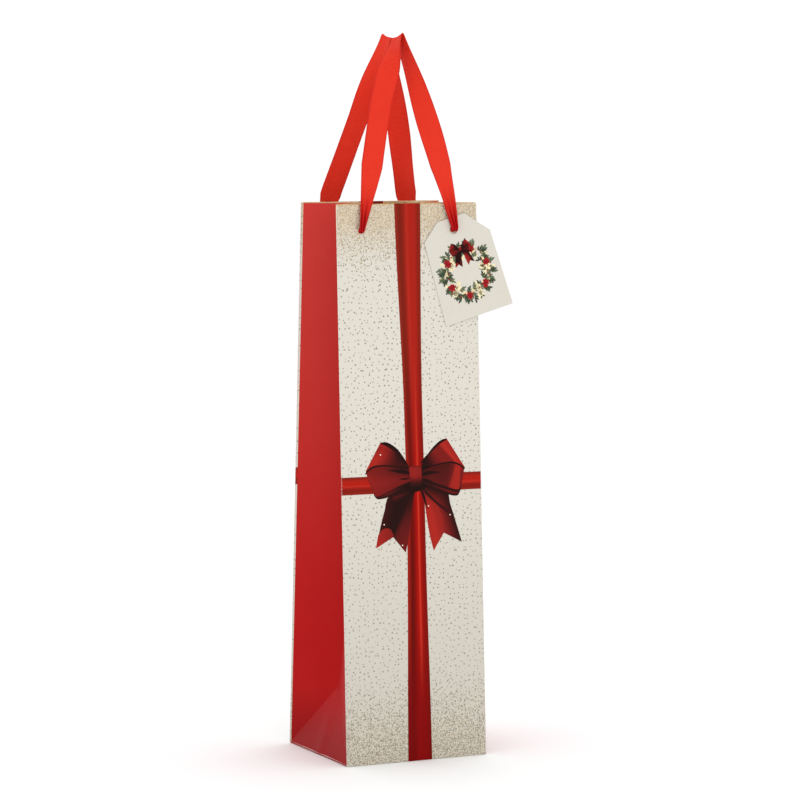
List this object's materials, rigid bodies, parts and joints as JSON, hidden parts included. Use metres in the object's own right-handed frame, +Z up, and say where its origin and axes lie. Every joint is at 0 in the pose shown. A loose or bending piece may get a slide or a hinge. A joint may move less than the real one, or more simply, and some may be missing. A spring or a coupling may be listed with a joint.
{
  "type": "bottle gift bag",
  "caption": "Tall folded-paper bottle gift bag with pinched mouth, inward-folded side gussets, two ribbon loop handles and a clipped card tag.",
  "frame": {"origin": "middle of the base, on the surface that the bag stands on", "axes": "+Z up along the bag's height, -Y out of the front panel, +X to the right seen from the front"},
  "size_m": [0.1231, 0.092, 0.4695],
  "materials": {
    "cream_paper": "satin-laminated printed paper",
    "red_paper": "satin-laminated red paper",
    "hem_paper": "printed paper turned in at the mouth",
    "grey_board": "plain recycled board",
    "red_ribbon": "ribbed woven ribbon",
    "tag_card": "smooth white card"
  },
  "bodies": {
    "base": {"back_bottom_flap": "red_paper", "front_bottom_flap": "red_paper", "left_bottom_tuck": "red_paper", "right_bottom_tuck": "red_paper", "base_board": "grey_board"},
    "front": {"front_panel": "cream_paper", "front_top_board": "grey_board", "front_hem": "hem_paper", "front_left_knot": "red_ribbon", "front_right_knot": "red_ribbon"},
    "back": {"back_panel": "cream_paper", "back_top_board": "grey_board", "back_hem": "hem_paper", "back_left_knot": "red_ribbon", "back_right_knot": "red_ribbon", "side_seam_flap": "red_paper"},
    "left_base_fold": {"left_base_triangle": "red_paper"},
    "right_base_fold": {"right_base_triangle": "red_paper"},
    "front_handle": {"front_handle_ribbon": "red_ribbon"},
    "back_handle": {"back_handle_ribbon": "red_ribbon"},
    "tag": {"gift_tag": "tag_card"},
    "left_front_leaf": {"left_front_gusset": "red_paper", "left_front_gusset_hem": "hem_paper"},
    "left_back_leaf": {"left_back_gusset": "red_paper", "left_back_gusset_hem": "hem_paper"},
    "right_front_leaf": {"right_front_gusset": "red_paper", "right_front_gusset_hem": "hem_paper"},
    "right_back_leaf": {"right_back_gusset": "red_paper", "right_back_gusset_hem": "hem_paper"}
  },
  "joints": [
    {"name": "mouth_open", "type": "hinge", "parent": "base", "child": "front", "pos_m": [0, -0.046, 0], "axis": [1, 0, 0], "range_deg": [0, 2.51]},
    {"name": "back_open", "type": "hinge", "parent": "base", "child": "back", "pos_m": [0, 0.046, 0], "axis": [-1, 0, 0], "range_deg": [0, 3.34]},
    {"name": "left_front_unfold", "type": "hinge", "parent": "front", "child": "left_front_leaf", "pos_m": [-0.05, -0.046, 0], "axis": [0, 0.0438, 0.999], "range_deg": [0, 57.1], "deforming": ["left_front_gusset", "left_front_gusset_hem"]},
    {"name": "left_back_unfold", "type": "hinge", "parent": "back", "child": "left_back_leaf", "pos_m": [-0.05, 0.046, 0], "axis": [0, 0.0582, -0.9983], "range_deg": [0, 57.1], "deforming": ["left_back_gusset", "left_back_gusset_hem"]},
    {"name": "right_front_unfold", "type": "hinge", "parent": "front", "child": "right_front_leaf", "pos_m": [0.05, -0.046, 0], "axis": [0, -0.0438, -0.999], "range_deg": [0, 57.1], "deforming": ["right_front_gusset", "right_front_gusset_hem"]},
    {"name": "right_back_unfold", "type": "hinge", "parent": "back", "child": "right_back_leaf", "pos_m": [0.05, 0.046, 0], "axis": [0, -0.0582, 0.9983], "range_deg": [0, 57.1], "deforming": ["right_back_gusset", "right_back_gusset_hem"]},
    {"name": "left_base_unfold", "type": "hinge", "parent": "base", "child": "left_base_fold", "pos_m": [-0.05, 0, 0], "axis": [0, -1, 0], "range_deg": [0, 18.16]},
    {"name": "right_base_unfold", "type": "hinge", "parent": "base", "child": "right_base_fold", "pos_m": [0.05, 0, 0], "axis": [0, 1, 0], "range_deg": [0, 18.16]},
    {"name": "front_handle_swing", "type": "hinge", "parent": "front", "child": "front_handle", "pos_m": [0, -0.03299, 0.34209], "axis": [1, 0, 0], "range_deg": [0, 175]},
    {"name": "back_handle_swing", "type": "hinge", "parent": "back", "child": "back_handle", "pos_m": [0, 0.02805, 0.34212], "axis": [-1, 0, 0], "range_deg": [0, 175]},
    {"name": "tag_swing", "type": "hinge", "parent": "front", "child": "tag", "pos_m": [0.0327, -0.03154, 0.34202], "axis": [0, 0.999, -0.0438], "range_deg": [-45, 75]}
  ],
  "couplings": [
    {"joint": "back_open", "follows": "mouth_open", "ratio": 1.3284},
    {"joint": "left_front_unfold", "follows": "mouth_open", "ratio": 22.72},
    {"joint": "left_back_unfold", "follows": "mouth_open", "ratio": 22.72},
    {"joint": "right_front_unfold", "follows": "mouth_open", "ratio": 22.72},
    {"joint": "right_back_unfold", "follows": "mouth_open", "ratio": 22.72},
    {"joint": "left_base_unfold", "follows": "mouth_open", "ratio": 7.226},
    {"joint": "right_base_unfold", "follows": "mouth_open", "ratio": 7.226}
  ]
}
